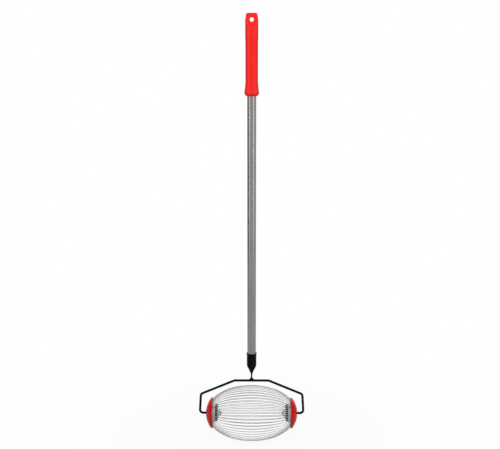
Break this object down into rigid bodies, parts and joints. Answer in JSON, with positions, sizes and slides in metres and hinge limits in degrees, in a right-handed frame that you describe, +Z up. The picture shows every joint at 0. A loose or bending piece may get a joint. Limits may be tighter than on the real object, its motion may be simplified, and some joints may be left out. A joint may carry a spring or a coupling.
{
  "type": "rolling nut gatherer",
  "caption": "Hand-pushed nut gatherer: a spinning oval cage of springy wires between red domed end caps, on a bent rod yoke with a tube handle and a red grip.",
  "frame": {"origin": "centre of the hanging hole in the grip", "axes": "+Z up the handle, X along the cage's axle, +Y to the back, along the hanging hole"},
  "size_m": [0.319, 0.1664, 1.2612],
  "materials": {
    "red_grip": "satin moulded",
    "grey_tube": "grey anodised, satin",
    "black_steel": "black powder coat",
    "pale_ring": "moulded",
    "red_cap": "gloss moulded",
    "zinc_steel": "zinc plated",
    "black_plastic": "moulded",
    "pale_nylon": "moulded nylon",
    "wire_steel": "bright drawn spring wire"
  },
  "bodies": {
    "handle": {"grip": "red_grip", "handle_tube": "grey_tube", "socket": "black_steel", "socket_ring": "pale_ring", "socket_rivet": "black_steel", "yoke": "black_steel", "yoke_weld": "black_steel", "left_axle_washer": "zinc_steel", "right_axle_washer": "zinc_steel", "left_push_nut": "zinc_steel", "right_push_nut": "zinc_steel"},
    "cage": {"left_end_cap": "red_cap", "right_end_cap": "red_cap", "left_wire_plate": "zinc_steel", "right_wire_plate": "zinc_steel", "left_hub": "black_plastic", "right_hub": "black_plastic", "left_bush": "pale_nylon", "right_bush": "pale_nylon", "left_hub_screws": "zinc_steel", "right_hub_screws": "zinc_steel", "cage_wire_pair_01": "wire_steel", "cage_wire_pair_02": "wire_steel", "cage_wire_pair_03": "wire_steel", "cage_wire_pair_04": "wire_steel", "cage_wire_pair_05": "wire_steel", "cage_wire_pair_06": "wire_steel", "cage_wire_pair_07": "wire_steel", "cage_wire_pair_08": "wire_steel", "cage_wire_pair_09": "wire_steel", "cage_wire_pair_10": "wire_steel", "cage_wire_pair_11": "wire_steel", "cage_wire_pair_12": "wire_steel", "cage_wire_pair_13": "wire_steel", "cage_wire_pair_14": "wire_steel", "cage_wire_pair_15": "wire_steel", "cage_wire_pair_16": "wire_steel", "cage_wire_pair_17": "wire_steel", "cage_wire_pair_18": "wire_steel", "cage_wire_pair_19": "wire_steel", "cage_wire_pair_20": "wire_steel", "cage_wire_pair_21": "wire_steel", "cage_wire_pair_22": "wire_steel", "cage_wire_pair_23": "wire_steel", "cage_wire_pair_24": "wire_steel", "cage_wire_pair_25": "wire_steel"}
  },
  "joints": [
    {"name": "cage_spin", "type": "hinge", "parent": "handle", "child": "cage", "pos_m": [0, 0, -1.16], "axis": [1, 0, 0], "continuous": true}
  ]
}
